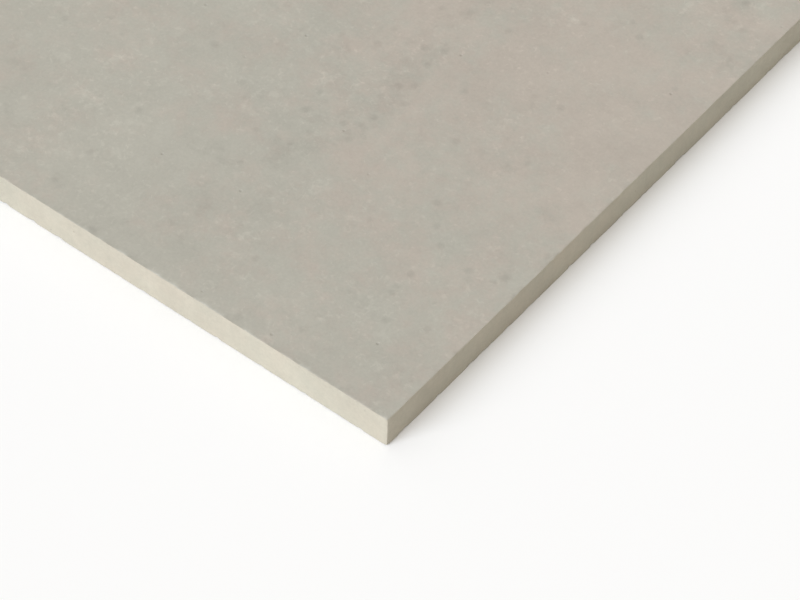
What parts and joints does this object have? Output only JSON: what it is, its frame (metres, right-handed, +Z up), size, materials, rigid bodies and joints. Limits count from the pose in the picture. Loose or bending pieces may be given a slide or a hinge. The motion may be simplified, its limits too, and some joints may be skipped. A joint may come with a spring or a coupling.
{
  "type": "calcium silicate board",
  "caption": "Flat rectangular calcium silicate building board with matte pale grey faces and square sawn edges, lying flat.",
  "frame": {"origin": "centre of the back face, the flat face that the board lies on", "axes": "+X along the board's length, +Y across its width, +Z up through its thickness, from the back face to the front face"},
  "size_m": [2.44, 1.22, 0.012],
  "materials": {
    "board": "matte"
  },
  "bodies": {
    "root": {"board": "board"}
  },
  "joints": []
}
